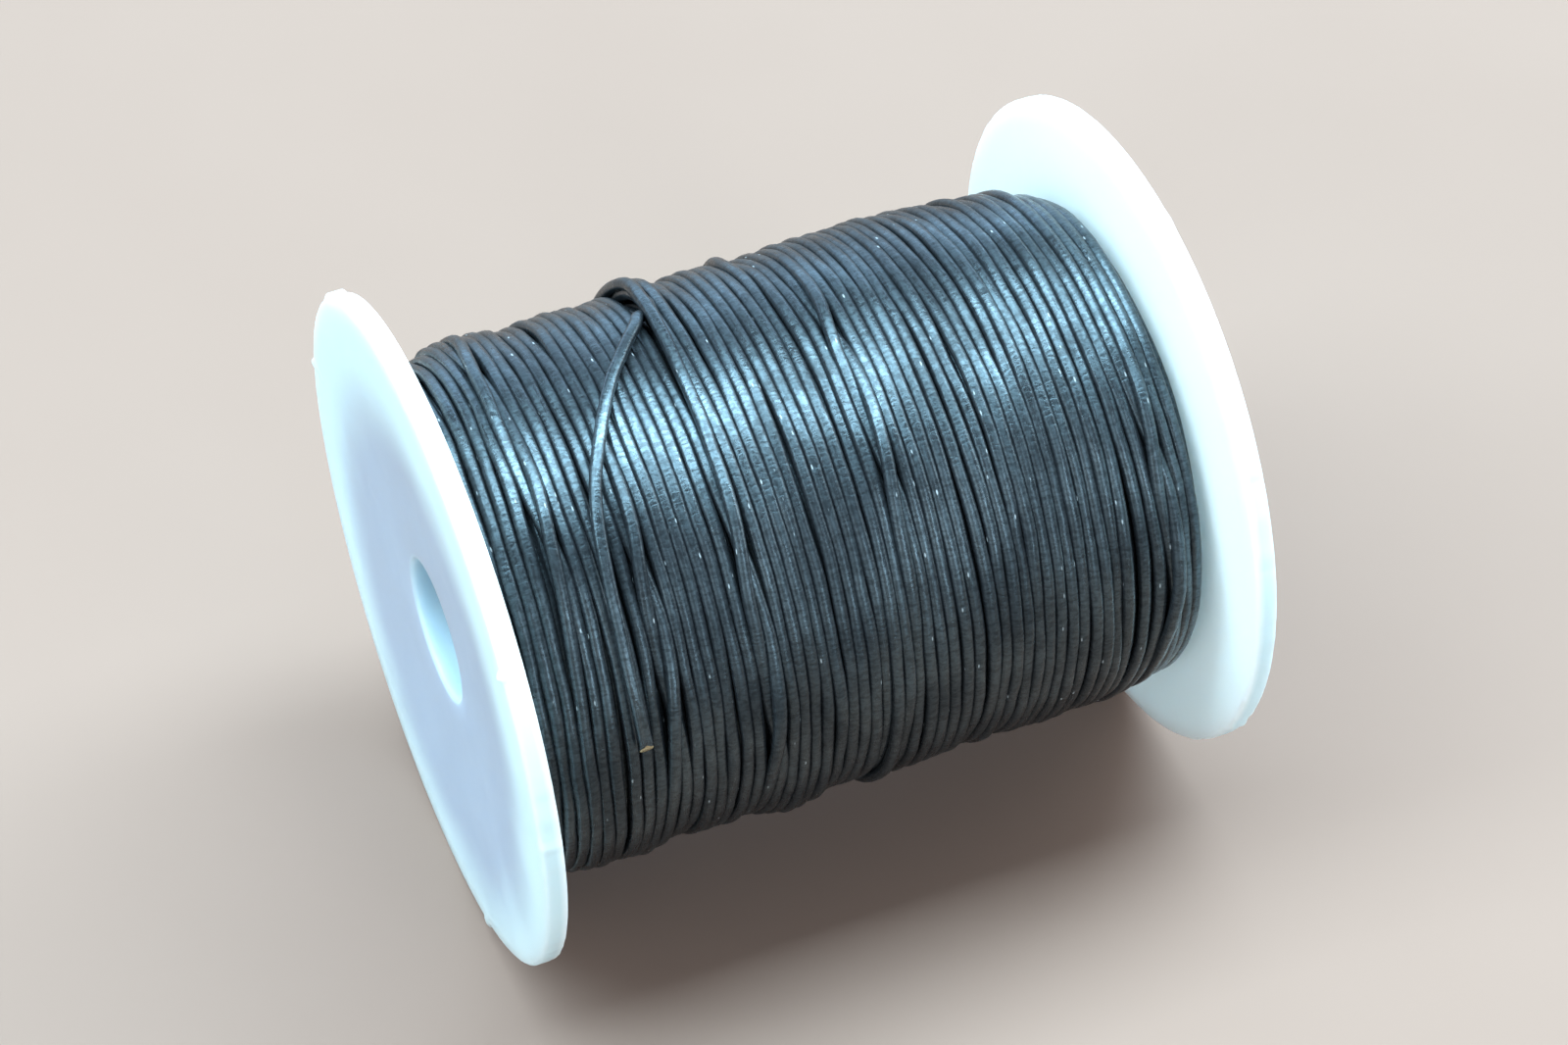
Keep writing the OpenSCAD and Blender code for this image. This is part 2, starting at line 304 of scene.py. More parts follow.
# The tip is pressed a little flat, with a groove along the top where the strip of hide was folded. The knife
# went through aslant, so the cut end faces outwards.
FLAT_L = 5 * MM
FLAT_WIDER = 0.10  # share by which the very tip is wider, and lower
FLAT_LOWER = 0.22
GROOVE_HALF_W = 0.24 * MM
GROOVE_DEPTH = 0.2 * MM
SLANT_L = 1.6 * MM  # stretch before the tip that the slant of the cut takes up
SLANT_REACH = 1.0 * MM

tail_mesh = bmesh.new()
tail_mesh.from_mesh(tail.data)
from_tip = tail_length - np.r_[0, np.cumsum(np.linalg.norm(np.diff(tail_line, axis=0), axis=1))]
tip_heading = Vector(tail_line[-1] - tail_line[-2]).normalized()
for i, vert in enumerate(tail_mesh.verts):
    ring = i // TAIL_SIDES
    flat = max(0.0, 1 - from_tip[ring] / FLAT_L)
    centre = Vector(tail_line[ring])
    outward = Vector((0, centre.y, centre.z)).normalized()
    arm = vert.co - centre
    rise = arm.dot(outward)
    side = arm - outward * rise
    groove = max(0.0, 1 - side.length / GROOVE_HALF_W) if rise > 0 else 0.0
    vert.co = centre + side * (1 + FLAT_WIDER * flat) + outward * rise * (1 - FLAT_LOWER * flat)
    vert.co -= outward * groove * flat**0.5 * GROOVE_DEPTH
    slant = max(0.0, 1 - from_tip[ring] / SLANT_L) * (0.5 + rise / CORD_D) * SLANT_REACH
    vert.co -= tip_heading * slant
open_ends = [edge for edge in tail_mesh.edges if edge.is_boundary]
for cut in bmesh.ops.holes_fill(tail_mesh, edges=open_ends, sides=0)["faces"]:
    cut.material_index = 1
tail_mesh.to_mesh(tail.data)
tail_mesh.free()
tail.data.materials.append(waxed_leather("waxed_leather_free_end", tail_length, CORD_D, 1.2))
tail.data.materials.append(raw_leather())
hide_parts("cord_tail")
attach(tail, "root")

# ---------------------------------------------------------------------------------------------------------
# Outer layer: 56 turns of the same cord, guided on by hand under light tension, so they sway, crowd, part
# and climb over each other. The turns settle here against their neighbours, the bed and the free end.
# ---------------------------------------------------------------------------------------------------------
TURNS = 56
STEPS = 96  # rings in each turn
START_ANGLE = 304
LAY_END = 27.9 * MM  # X either way that the layers reach
RIGHT_END = 27.2 * MM  # the outer layer stops short of the right flange
TURN_D = 0.985 * CORD_D  # middle to middle, as the turns press into each other
RUB = 2.55  # the turns are rubbed a little less flat than the free end
TURN_SIDES = 16
LUMPS = [  # where the layers below stand proud or sag: X, angle, reach along X, reach in angle, mm of height
    (4, 60, 14, 60, 0.28), (20, 70, 8, 60, 0.2), (-17, 150, 8, 40, -0.25), (14, 200, 10, 50, 0.15),
    (-24, 80, 4, 50, -0.25), (-5, 300, 14, 60, 0.2), (-25.2, 40, 1.5, 35, -0.4), (-23, 40, 2.5, 35, 0.15),
    (-20.8, 40, 0.9, 30, 0.15), (-18, 40, 1.6, 30, -0.4), (-11, 40, 1.4, 30, -0.5), (4, 40, 1.5, 30, -0.3),
    (18.5, 40, 2, 30, -0.35), (24.8, 40, 2.2, 35, -0.4), (1.3, 40, 1.8, 30, -0.45), (12.8, 40, 4, 35, 0.3),
    (24, 40, 9, 50, -0.45), (27.5, 40, 5, 50, -0.75), (-19, 219, 2.5, 35, 0.3), (-15.8, 219, 2.5, 35, -0.4),
    (-6.5, 219, 3.5, 35, 0.55), (3, 219, 5, 40, 0.25), (16.5, 219, 3, 30, 0.25), (26, 219, 5, 40, -0.35),
    (0.6, 222, 1.5, 30, -0.5)]
PUSHES = [  # where the turns were crowded aside: X, angle, reach along X, reach in angle, mm of shift
    (-25, 85, 3.5, 30, 0.9), (-23, 172, 5, 40, -1.7), (-16, 70, 3, 30, 0.5), (0, 95, 3, 35, 0.5),
    (7.5, 140, 2.5, 35, -0.5), (23.4, 165, 2.2, 34, 1.5), (20.4, 160, 2, 30, -0.7), (14, 110, 3, 30, 0.45),
    (12, 250, 5, 50, 0.6), (-10, 260, 5, 50, -0.7), (21.5, 98, 2.2, 28, 0.6), (25.5, 122, 2, 25, -0.5)]
HAND_SWAY = 0.38 * MM
NEAT_L = 6 * MM  # the last turns before the right end were laid more neatly
NEATEST = 0.25
BED_RIB = 0.09 * MM  # the crossing layer below makes a ribbed bed
BED_SWAY = 0.09 * MM
END_SINK = 0.8 * MM  # each end of the layer dives into the winding
END_SINK_TURNS = 0.4
RIDE_UP = 1.1 * MM  # height of a turn that rides over the tucked end
RIDE_HALF_W = 1.0 * MM  # turns this near to the tuck along X ride over it
RIDE_SHIFT = 0.2 * MM
RIDE_REACH = 16  # degrees either way that a ride lasts
RIDE_BEFORE = 5
TUCK_HIDDEN = 10  # degrees past the tuck at which the free end comes into view
LOOSE = 0.15 * MM  # height from which the rings start to settle
SETTLE_ROUNDS = 220
SINK_STEP = 0.02 * MM  # what the tension draws a ring down in a round
HOME_PULL = 0.03  # share of the way back to its lay that a ring goes in a round
RIDE_PULL = 0.3
PUSH_APART = 1.6  # share of an overlap that a round takes away
STIFF_ROUNDS = 3
STIFFNESS = 0.5
CROOK_X = 0.025 * MM  # leather cord is never quite straight
CROOK_H = 0.02 * MM
SWELL = 1.055  # nor quite as thick as its name says, nor quite even
SWELL_SWAY = 0.035

rng = np.random.default_rng(5)


def bell(u):
    """1 at the middle, falling off smoothly to 0 where u is 1 either way."""
    return np.where(np.abs(u) < 1, 0.5 + 0.5 * np.cos(np.pi * np.clip(u, -1, 1)), 0.0)


def turned_by(angle, middle):
    """Signed difference between two angles in degrees."""
    return (angle - middle + 180) % 360 - 180


def spread_over(places, x, angle):
    """What all the places of a list add at x and angle, each within its own reach."""
    total = np.zeros(len(x))
    for at_x, at_angle, reach_x, reach_angle, amount in places:
        near = bell((x / MM - at_x) / reach_x) * bell(turned_by(angle, at_angle) / reach_angle)
        total += amount * near * MM
    return total


def wobble(count, shortest, longest, spacing):
    """A smooth random line along the cord, of unit spread, with wavelengths between two lengths."""
    s = np.arange(count) * spacing
    waves = [rng.normal() * np.sin(2 * np.pi * s / rng.uniform(shortest, longest) + rng.uniform(0, 2 * np.pi))
             for _ in range(40)]
    total = np.sum(waves, axis=0)
    return total / total.std()


# Where the hand aimed each ring along X
rings = TURNS * STEPS + 1
wound = np.arange(rings) / STEPS
lay_angle = START_ANGLE - 360 * wound
ring_gap = 2 * math.pi * WOUND_R / STEPS
aim_x = (LAY_END + RIGHT_END) * wound / TURNS - LAY_END
for push in PUSHES:
    aim_x = aim_x + spread_over([push], aim_x, lay_angle)
near_right = np.clip((RIGHT_END - aim_x) / NEAT_L, NEATEST, 1)
aim_x = aim_x + wobble(rings, 25 * MM, 140 * MM, ring_gap) * HAND_SWAY * near_right
lump = spread_over(LUMPS, aim_x, lay_angle)

# Height of the cord's middle over the winding's surface
bed = -TURN_D / 2 + BED_RIB * np.cos(2 * np.pi * (aim_x / TURN_D + 2 * wound))
bed = bed + wobble(rings, 12 * MM, 70 * MM, ring_gap) * BED_SWAY
bed = bed - END_SINK * np.clip(1 - wound / END_SINK_TURNS, 0, 1)
bed = bed - END_SINK * np.clip(1 - (TURNS - wound) / END_SINK_TURNS, 0, 1)

# The free end's place in each column of rings that it passes. Elsewhere it is far away.
FAR = 1.0
column_angle = (START_ANGLE - 360 * np.arange(STEPS) / STEPS) % 360
tail_line_angle = np.degrees(np.arctan2(tail_line[:, 2], tail_line[:, 1]))
tail_line_h = np.hypot(tail_line[:, 1], tail_line[:, 2]) - winding_surface(tail_line[:, 0])
crossed = (column_angle > tail_line_angle[0]) & (column_angle < tail_line_angle[-1])
column_x = np.where(crossed, np.interp(column_angle, tail_line_angle, tail_line[:, 0]), FAR)
column_h = np.where(crossed, np.interp(column_angle, tail_line_angle, tail_line_h), 0.0)

# The two turns that the hidden stretch of the free end would cut through ride over it
hidden = tail_line_angle < TUCK_ANGLE + TUCK_HIDDEN
ride_angle = np.interp(aim_x, tail_line[hidden][::-1, 0], tail_line_angle[hidden][::-1]) - RIDE_BEFORE
riding = np.abs(aim_x - (TUCK_X - RIDE_SHIFT)) < RIDE_HALF_W
rise = np.where(riding, bell(turned_by(lay_angle, ride_angle) / RIDE_REACH), 0)
bed = bed + RIDE_UP * rise
lay_x = aim_x.copy()
lay_h = bed + np.abs(wobble(rings, 20 * MM, 90 * MM, ring_gap)) * LOOSE


def relaxed(line):
    """The cord resists bending: each ring moves towards the middle of its neighbours."""
    middle = line.copy()
    middle[1:-1] = (line[:-2] + line[2:]) / 2
    return line + (middle - line) * STIFFNESS


# Each round the rings sink, go back towards their lay and push apart from what they touch in their column
for settle in range(SETTLE_ROUNDS):
    lay_h = np.maximum(lay_h - SINK_STEP, bed)
    lay_x = lay_x + (aim_x - lay_x) * (HOME_PULL + RIDE_PULL * rise)
    for _ in range(STIFF_ROUNDS):
        lay_x = relaxed(lay_x)
        lay_h = relaxed(lay_h)
    grid_x = np.vstack([lay_x[:-1].reshape(TURNS, STEPS), column_x])
    grid_h = np.vstack([lay_h[:-1].reshape(TURNS, STEPS), column_h])
    free = np.ones_like(grid_x)
    free[-1] = 0
    order = np.argsort(grid_x, axis=0)
    sx, sh, sf = [np.take_along_axis(g, order, 0) for g in (grid_x, grid_h, free)]
    for apart in (1, 2, 3):
        dx = sx[apart:] - sx[:-apart]
        dh = sh[apart:] - sh[:-apart]
        gap = np.hypot(dx, dh) + 1e-9
        press = np.clip(TURN_D - gap, 0, None) * 0.5 / gap
        give = sf[apart:] + sf[:-apart] + 1e-9
        for part, weight, sign in ((slice(apart, None), sf[apart:] / give, 1),
                                   (slice(None, -apart), sf[:-apart] / give, -1)):
            sx[part] += sign * dx * press * weight * PUSH_APART
            sh[part] += sign * dh * press * weight * PUSH_APART
    np.put_along_axis(grid_x, order, sx, 0)
    np.put_along_axis(grid_h, order, sh, 0)
    lay_x[:-1] = grid_x[:-1].ravel()
    lay_h[:-1] = grid_h[:-1].ravel()
    lay_x = np.clip(lay_x, -LAY_END, RIGHT_END)

lay_x = lay_x + wobble(rings, 4 * MM, 16 * MM, ring_gap) * CROOK_X
lay_h = lay_h + wobble(rings, 4 * MM, 16 * MM, ring_gap) * CROOK_H
turn_points = round_spool(lay_x, lay_angle, winding_surface(lay_x) + lump + lay_h)
turn_swell = SWELL * (1 + SWELL_SWAY * wobble(rings, 6 * MM, 50 * MM, ring_gap))
layer = cord_tube("outer_layer", turn_points, CORD_D, TURN_SIDES, RUB, turn_swell)
layer.data.materials.append(waxed_leather("waxed_leather_turns", run_length(turn_points), CORD_D, 0.9))
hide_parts("cord_turns")
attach(layer, "root")

# ---------------------------------------------------------------------------------------------------------
# Inner layers: the same cord below, wound back the other way. Only the next layer shows, in the gaps between
# the turns, so it is cord, and all that lies under it is one dark drum ribbed by the cord's layers.
# ---------------------------------------------------------------------------------------------------------
UNDER_TURNS = 55
UNDER_STEPS = 72
UNDER_SIDES = 8
UNDER_SWAY = 0.15 * MM
LAYER_RISE = 0.87 * CORD_D  # a layer sinks a little between the turns of the one below
UNDER_GAP = 0.05 * MM
TUBE_R = 8.2 * MM
DRUM_CLEAR = 0.02 * MM
RIB_STEPS = 4
RIB_DEPTH = 0.3 * MM
FACE_GAP = 0.5 * MM  # the layers stop this far short of a flange
RIM_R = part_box("left_flange")[1][1]
LAND_R = RIM_R - 1.5 * MM
HUB_R = 10.0 * MM
DISH = 0.9 * MM  # how far a flange's hub lies inboard of its rim
DRUM_STEPS = 96

under_rings = UNDER_TURNS * UNDER_STEPS + 1
under_wound = np.arange(under_rings) / UNDER_STEPS
under_angle = START_ANGLE + 360 * under_wound
under_x = LAY_END * (2 * under_wound / UNDER_TURNS - 1)
under_x = under_x + wobble(under_rings, 9 * MM, 60 * MM, ring_gap) * UNDER_SWAY
under_x = np.clip(under_x, -LAY_END, LAY_END)
under_r = winding_surface(under_x) + spread_over(LUMPS, under_x, under_angle)
under_points = round_spool(under_x, under_angle, under_r - TURN_D / 2 - LAYER_RISE - UNDER_GAP)
inner = cord_tube("inner_layers", under_points, CORD_D, UNDER_SIDES)
inner.data.materials.append(waxed_leather("waxed_leather_inner", run_length(under_points), CORD_D, 0.6))

drum_side = []
layers_below = int((WOUND_R - 2 * LAYER_RISE - TUBE_R) / LAYER_RISE)
for i in range(layers_below * RIB_STEPS + 1):
    r = TUBE_R + DRUM_CLEAR + LAYER_RISE * i / RIB_STEPS
    out_on_dish = min(1, max(0, (r - HUB_R) / (LAND_R - HUB_R)))
    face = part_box("core_tube")[1][0] + out_on_dish * DISH
    rib = abs(math.sin(math.pi * i / RIB_STEPS))
    drum_side.append((face - FACE_GAP - (1 - rib) * RIB_DEPTH, r))
drum = bmesh.new()
outline = [drum.verts.new((x, 0, r)) for x, r in drum_side]
outline += [drum.verts.new((-x, 0, r)) for x, r in reversed(drum_side)]
edges = [drum.edges.new(pair) for pair in zip(outline, outline[1:] + outline[:1])]
bmesh.ops.spin(drum, geom=outline + edges, cent=(0, 0, 0), axis=(1, 0, 0), angle=2 * math.pi,
               steps=DRUM_STEPS, use_merge=True)
bmesh.ops.recalc_face_normals(drum, faces=drum.faces)
drum_mesh = bpy.data.meshes.new("packed_drum")
drum.to_mesh(drum_mesh)
drum.free()
drum_piece = bpy.data.objects.new("packed_drum", drum_mesh)
bpy.context.scene.collection.objects.link(drum_piece)


def packed_cord():
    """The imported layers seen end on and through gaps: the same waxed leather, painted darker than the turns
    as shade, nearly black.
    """
    made = bpy.data.materials.new("packed_waxed_cord")
    made.use_nodes = True
    tree = made.node_tree
    tree.nodes.clear()
    place = add(tree, "ShaderNodeTexCoord").outputs["Object"]
    grain = add(tree, "ShaderNodeTexNoise", {"Vector": place, "Scale": 1 / (0.4 * MM), "Detail": 3.0})
    colour = add(tree, "ShaderNodeMix", {
        "Factor": grain.outputs["Fac"], "A": linear("#0c0e10"), "B": linear("#1c2125")}, data_type="RGBA")
    bump = add(tree, "ShaderNodeBump", {"Height": grain.outputs["Fac"], "Distance": 0.06 * MM})
    shader = add(tree, "ShaderNodeBsdfPrincipled", {
        "Base Color": colour.outputs["Result"], "Roughness": 0.6, "Normal": bump.outputs["Normal"]})
    add(tree, "ShaderNodeOutputMaterial", {"Surface": shader.outputs["BSDF"]})
    return made


drum_piece.data.materials.append(packed_cord())
for piece in (inner, drum_piece):
    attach(piece, "root")
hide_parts("cord_core")
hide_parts("cord_core")

# ---------------------------------------------------------------------------------------------------------
# Flanges: two alike, injection moulded from unpigmented polypropylene. Each is a thin dished disc with a
# flat land round the rim and a spigot pushed into the core tube. Flash and a few nubs stand along the rims.
# ---------------------------------------------------------------------------------------------------------
RIM_X = -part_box("left_flange")[0][0]
FLANGE_T = 1.8 * MM
BORE_R = 5.75 * MM
SPIGOT_R = 6.85 * MM
SPIGOT_END = 8.7 * MM  # inboard from the rim's outer plane
LEAD_IN = 0.5 * MM
EDGE_R = 0.35 * MM
MOUTH_R = 0.4 * MM
FLANGE_STEPS = 512
CRISP = 50  # degrees from which an edge shades as a corner
FLASH = 0.024 * MM
RIM_SHARE = 0.8  # share of the flash and nubs that stands outwards
NUBS = {  # what the mould left on a rim: angle, reach in degrees, mm outwards and mm along the bore
    "left_flange": [
        (248, 1.7, 0.8, 0.15), (232, 14, -0.2, 0), (139, 1.2, 0.1, 0.45), (11, 1.1, 0.1, 0.25),
        (43, 3, 0.45, 0), (214, 1.6, -0.35, 0), (96, 2, 0.25, 0), (170, 1.5, 0.25, 0.1)],
    "right_flange": [
        (100, 2.5, 0.3, 0), (118, 0.8, -0.2, 0), (128, 1, -0.22, 0), (146, 0.9, -0.2, 0),
        (205, 2, 0.2, 0), (300, 3, 0.25, 0)]}
# Painted shadow of the cord on the flanges' outer faces: how far it drops, how soft its edge is, where it
# fades
SHADE_DROP = 2.8 * MM
SHADE_BLUR = 3.5 * MM
SHADE_R = (18 * MM, 27 * MM)  # between these radii the shadow of the cord fades out
FACE_X = (29.4 * MM, 28.9 * MM)  # from the outer face to the inner one
WALL_R = (5.8 * MM, 6.4 * MM)  # from the bore's wall to the disc round it


def arc_points(centre_r, centre_s, radius, start, stop, steps):
    """Points of a rounding, between two angles in degrees."""
    return [(centre_r + radius * math.cos(math.radians(a)), centre_s + radius * math.sin(math.radians(a)))
            for a in np.linspace(start, stop, steps + 1)]


def flange_outline():
    """Radius and depth inboard from the rim's outer plane, once round the moulding's section."""
    rows = arc_points(BORE_R + MOUTH_R, DISH + MOUTH_R, MOUTH_R, 270, 180, 5)
    rows += [(BORE_R, s) for s in np.linspace(DISH + 2 * MOUTH_R, SPIGOT_END, 5)]
    rows += [(SPIGOT_R - LEAD_IN, SPIGOT_END), (SPIGOT_R, SPIGOT_END - LEAD_IN), (SPIGOT_R, DISH + FLANGE_T)]
    rows += [(HUB_R, DISH + FLANGE_T)]
    rows += [(HUB_R + (LAND_R - HUB_R) * t, FLANGE_T + DISH * (1 - t)) for t in np.linspace(0.1, 1, 10)]
    rows += arc_points(RIM_R - EDGE_R, FLANGE_T - EDGE_R, EDGE_R, 90, 0, 5)
    rows += arc_points(RIM_R - EDGE_R, EDGE_R, EDGE_R, 0, -90, 5)
    rows += [(HUB_R + (LAND_R - HUB_R) * t, DISH * (1 - t)) for t in np.linspace(1, 0, 11)]
    return rows


def milky_polypropylene():
    """Unpigmented polypropylene, injection moulded. It is milky and lets light through, so the rim glows.
    The soft grey-blue shadow of the dark cord, where it lies against the disc, is painted into the colour of
    the outer faces, and the light that the plastic lets through softens it further."""
    made = bpy.data.materials.new("milky_polypropylene")
    made.use_nodes = True
    tree = made.node_tree
    tree.nodes.clear()
    place = add(tree, "ShaderNodeTexCoord").outputs["Object"]
    axes = add(tree, "ShaderNodeSeparateXYZ", {"Vector": place})
    flat = add(tree, "ShaderNodeCombineXYZ", {"Y": axes.outputs["Y"], "Z": axes.outputs["Z"]})
    radius = add(tree, "ShaderNodeVectorMath", {0: flat.outputs["Vector"]}, operation="LENGTH")
    clouds = add(tree, "ShaderNodeTexNoise", {"Vector": place, "Scale": 1 / (9 * MM), "Detail": 3.0})
    # Painted shadow of the cord on the outer faces. The light comes from above, so it hangs a little lower
    # than the bore
    lower = add(tree, "ShaderNodeVectorMath", {
        0: flat.outputs["Vector"], 1: (0, 0, SHADE_DROP)}, operation="ADD")
    reach = add(tree, "ShaderNodeVectorMath", {0: lower.outputs["Vector"]}, operation="LENGTH")
    soft = add(tree, "ShaderNodeMath", {
        0: clouds.outputs["Fac"], 1: SHADE_BLUR, 2: reach.outputs["Value"]}, operation="MULTIPLY_ADD")
    shadow = add(tree, "ShaderNodeMapRange", {
        "Value": soft.outputs["Value"], "From Min": SHADE_R[0], "From Max": SHADE_R[1]},
        interpolation_type="SMOOTHSTEP")
    outer = add(tree, "ShaderNodeMix", {
        "Factor": shadow.outputs["Result"], "A": linear("#abb6c6"), "B": linear("#cfe1e3")}, data_type="RGBA")
    # Painted light: the inner faces are painted lighter, because they stand in the light and not behind the
    # cord
    depth = add(tree, "ShaderNodeMath", {0: axes.outputs["X"]}, operation="ABSOLUTE")
    inside = add(tree, "ShaderNodeMapRange", {
        "Value": depth.outputs["Value"], "From Min": FACE_X[0], "From Max": FACE_X[1]})
    disc = add(tree, "ShaderNodeMix", {
        "Factor": inside.outputs["Result"], "A": outer.outputs["Result"], "B": linear("#e6f1ef")},
        data_type="RGBA")
    # Painted light: the bore's wall is painted clear and bluish, for the light that reaches it from both
    # sides
    wall = add(tree, "ShaderNodeMapRange", {
        "Value": radius.outputs["Value"], "From Min": WALL_R[0], "From Max": WALL_R[1]})
    colour = add(tree, "ShaderNodeMix", {
        "Factor": wall.outputs["Result"], "A": linear("#b6cedb"), "B": disc.outputs["Result"]},
        data_type="RGBA")
    skin = add(tree, "ShaderNodeTexNoise", {"Vector": place, "Scale": 1 / (0.5 * MM), "Detail": 4.0})
    bump = add(tree, "ShaderNodeBump", {
        "Height": skin.outputs["Fac"], "Strength": 0.35, "Distance": 0.02 * MM})
    rough = add(tree, "ShaderNodeMapRange", {
        "Value": clouds.outputs["Fac"], "From Min": 0.3, "From Max": 0.7, "To Min": 0.38, "To Max": 0.5})
    shader = add(tree, "ShaderNodeBsdfPrincipled", {
        "Base Color": colour.outputs["Result"], "Roughness": rough.outputs["Result"],
        "Normal": bump.outputs["Normal"], "IOR": 1.49, "Subsurface Weight": 1.0,
        "Subsurface Radius": (1.0, 1.05, 1.1), "Subsurface Scale": 3.5 * MM})
    add(tree, "ShaderNodeOutputMaterial", {"Surface": shader.outputs["BSDF"]})
    return made


plastic = milky_polypropylene()
flash_rng = np.random.default_rng(11)
for name, side in (("left_flange", -1), ("right_flange", 1)):
    disc = bmesh.new()
    ring = [disc.verts.new((side * (RIM_X - s), r, 0)) for r, s in flange_outline()]
    section = [disc.edges.new(pair) for pair in zip(ring, ring[1:] + ring[:1])]
    bmesh.ops.spin(disc, geom=ring + section, cent=(0, 0, 0), axis=(1, 0, 0), angle=2 * math.pi,
                   steps=FLANGE_STEPS, use_merge=True)
    # The flash is a fine ripple of many waves round the rim. A nub stands outwards and along the bore.
    waves = [(n, flash_rng.normal() / n**0.5, flash_rng.uniform(0, 2 * math.pi)) for n in range(20, 160)]
    for vert in disc.verts:
        r = math.hypot(vert.co.y, vert.co.z)
        if r < RIM_R - EDGE_R:
            continue
        angle = math.degrees(math.atan2(vert.co.z, vert.co.y))
        flash = FLASH * sum(size * math.sin(n * math.radians(angle) + phase) for n, size, phase in waves)
        aside = 0.0
        for at, reach, height, along in NUBS[name]:
            near = float(bell(turned_by(angle, at) / reach))
            flash += height * MM * near
            aside += along * MM * near
        rounding = (r - (RIM_R - EDGE_R)) / EDGE_R
        grown = (r + flash * rounding * RIM_SHARE) / r
        vert.co.y *= grown
        vert.co.z *= grown
        if side * vert.co.x > RIM_X - EDGE_R:
            vert.co.x += side * aside
    bmesh.ops.recalc_face_normals(disc, faces=disc.faces)
    mesh = bpy.data.meshes.new(name + "_moulding")
    disc.to_mesh(mesh)
    disc.free()
    mesh.polygons.foreach_set("use_smooth", np.ones(len(mesh.polygons), bool))
    moulding = bpy.data.objects.new(name + "_moulding", mesh)
    bpy.context.scene.collection.objects.link(moulding)
    mesh.materials.append(plastic)
    corners = moulding.modifiers.new("Crisp edges", "EDGE_SPLIT")
    corners.split_angle = math.radians(CRISP)
    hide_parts(name)
    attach(moulding, "root")

# ---------------------------------------------------------------------------------------------------------
# Core tube: a plain extruded barrel of the same plastic, which the cord is wound on. Both spigots plug into
# it, and it shows only deep in the bore, between them, in shade and lit through its own wall. That shade and
# light are painted into its colour.
# ---------------------------------------------------------------------------------------------------------
DIE_LINE = 0.6 * MM  # between the lines that the die drew along the tube


def shaded_polypropylene():
    """Unpigmented polypropylene, extruded. Its colour is painted greener and greyer than the flanges', for
    the shade deep in the bore.
    """
    made = bpy.data.materials.new("extruded_polypropylene")
    made.use_nodes = True
    tree = made.node_tree
    tree.nodes.clear()
    place = add(tree, "ShaderNodeTexCoord").outputs["Object"]
    # The die lines run along the tube, so the pattern is stretched along X
    lines = add(tree, "ShaderNodeMapping", {"Vector": place, "Scale": (0.05, 1, 1)})
    drawn = add(tree, "ShaderNodeTexNoise", {"Vector": lines.outputs["Vector"], "Scale": 1 / DIE_LINE})
    colour = add(tree, "ShaderNodeMix", {
        "Factor": drawn.outputs["Fac"], "A": linear("#a9c6cd"), "B": linear("#bfdbe0")}, data_type="RGBA")
    bump = add(tree, "ShaderNodeBump", {
        "Height": drawn.outputs["Fac"], "Strength": 0.3, "Distance": 0.03 * MM})
    shader = add(tree, "ShaderNodeBsdfPrincipled", {
        "Base Color": colour.outputs["Result"], "Roughness": 0.42, "Normal": bump.outputs["Normal"],
        "IOR": 1.49})
    add(tree, "ShaderNodeOutputMaterial", {"Surface": shader.outputs["BSDF"]})
    return made


core_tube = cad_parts["core_tube"]
core_tube.data.materials.clear()
core_tube.data.materials.append(shaded_polypropylene())

# ---------------------------------------------------------------------------------------------------------
# Stage: a plain pale floor that keeps the spool's shadow. A long softbox overhead, in line with the spool,
# draws the highlight along the winding. A pale wall behind and weak lamps at the sides and in front fill in.
# ---------------------------------------------------------------------------------------------------------
FLOOR_SIZE = 6.0
CARD_CLOUD = 30 * MM  # between paler and darker patches of the card


def pale_card():
    """Matt paper card, off white. The camera sees it pale, and the spool mirrors it as a dark bench."""
    made = bpy.data.materials.new("pale_card")
    made.use_nodes = True
    tree = made.node_tree
    tree.nodes.clear()
    place = add(tree, "ShaderNodeTexCoord").outputs["Object"]
    fibre = add(tree, "ShaderNodeTexNoise", {"Vector": place, "Scale": 1 / CARD_CLOUD, "Detail": 2.0})
    card = add(tree, "ShaderNodeMix", {
        "Factor": fibre.outputs["Fac"], "A": linear("#8c7467"), "B": linear("#90786b")}, data_type="RGBA")
    colour = add(tree, "ShaderNodeMix", {
        "Factor": add(tree, "ShaderNodeLightPath").outputs["Is Camera Ray"], "A": linear("#6f584b"),
        "B": card.outputs["Result"]}, data_type="RGBA")
    shader = add(tree, "ShaderNodeBsdfPrincipled", {"Base Color": colour.outputs["Result"], "Roughness": 0.8})
    add(tree, "ShaderNodeOutputMaterial", {"Surface": shader.outputs["BSDF"]})
    return made


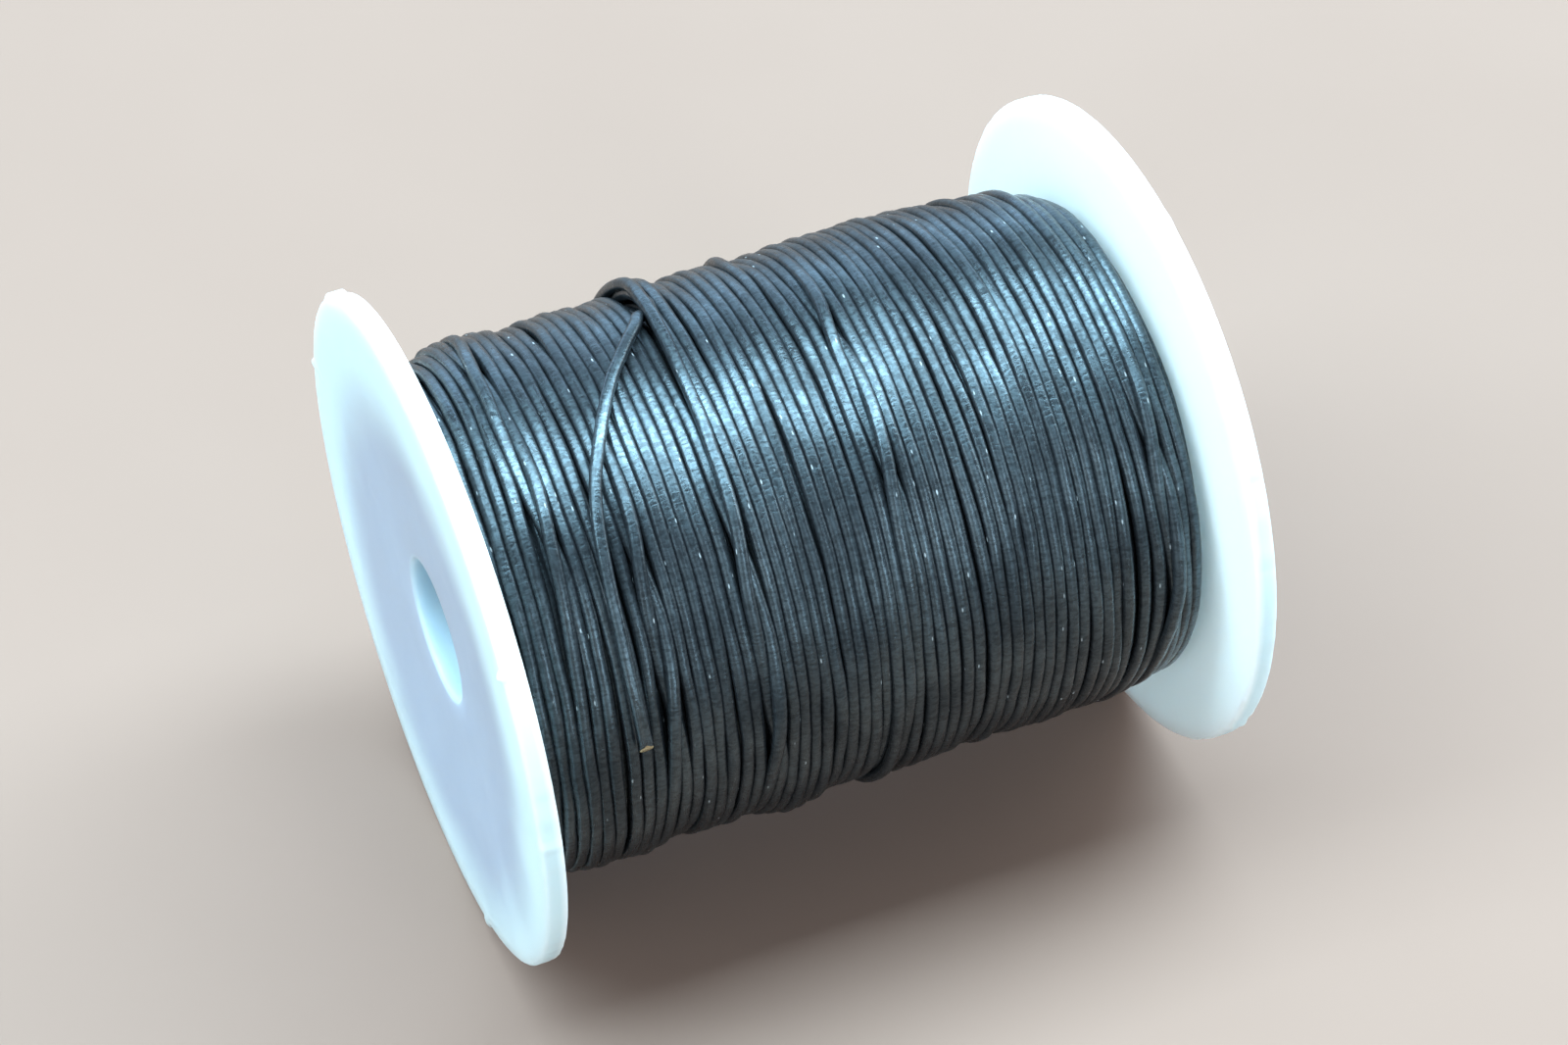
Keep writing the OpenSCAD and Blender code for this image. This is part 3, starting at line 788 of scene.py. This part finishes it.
sheet = bmesh.new()
bmesh.ops.create_grid(sheet, x_segments=1, y_segments=1, size=FLOOR_SIZE / 2,
                      matrix=Matrix.Translation((0, 0, -RIM_R)))
floor_mesh = bpy.data.meshes.new("floor")
sheet.to_mesh(floor_mesh)
sheet.free()
floor = bpy.data.objects.new("floor", floor_mesh)
bpy.context.scene.collection.objects.link(floor)
floor.data.materials.append(pale_card())

# The camera sees a pale backdrop, and the spool gets a little even light from it
world = bpy.data.worlds.new("studio")
world.use_nodes = True
bpy.context.scene.world = world
world.node_tree.nodes.clear()
seen = add(world.node_tree, "ShaderNodeMapRange", {
    "Value": add(world.node_tree, "ShaderNodeLightPath").outputs["Is Camera Ray"], "To Min": 0.17,
    "To Max": 0.75})
backdrop = add(world.node_tree, "ShaderNodeBackground", {
    "Color": linear("#dfeaf0"), "Strength": seen.outputs["Result"]})
add(world.node_tree, "ShaderNodeOutputWorld", {"Surface": backdrop.outputs["Background"]})


def soft_lamp(name, place, width, depth, watts, colour):
    """A softbox that faces the spool, with its place and size in metres."""
    lamp = bpy.data.lights.new(name, "AREA")
    lamp.shape = "RECTANGLE"
    lamp.size = width
    lamp.size_y = depth
    lamp.energy = watts
    lamp.color = linear(colour)[:3]
    box = bpy.data.objects.new(name, lamp)
    box.location = place
    box.rotation_euler = (-Vector(place)).to_track_quat("-Z", "Y").to_euler()
    bpy.context.scene.collection.objects.link(box)


soft_lamp("window_overhead", (0.0, 0.15, 0.77), 2.4, 0.44, 47.0, "#cdeeff")
soft_lamp("pale_wall_behind", (0.1, 1.1, 0.26), 2.0, 0.5, 8.0, "#b8deff")
soft_lamp("fill_at_the_left", (-0.78, -0.42, 0.24), 0.9, 0.9, 5.2, "#eef8ff")
soft_lamp("fill_at_the_right", (0.9, 0.0, 0.2), 0.9, 0.9, 7.5, "#eef8ff")
soft_lamp("strip_in_front", (0.24, -0.9, 0.42), 0.2, 0.9, 2.7, "#dcf0ff")
soft_lamp("fill_in_front", (-0.2, -0.9, 0.4), 0.9, 0.9, 0.9, "#fff8f2")

bpy.context.scene.view_settings.view_transform = "Standard"
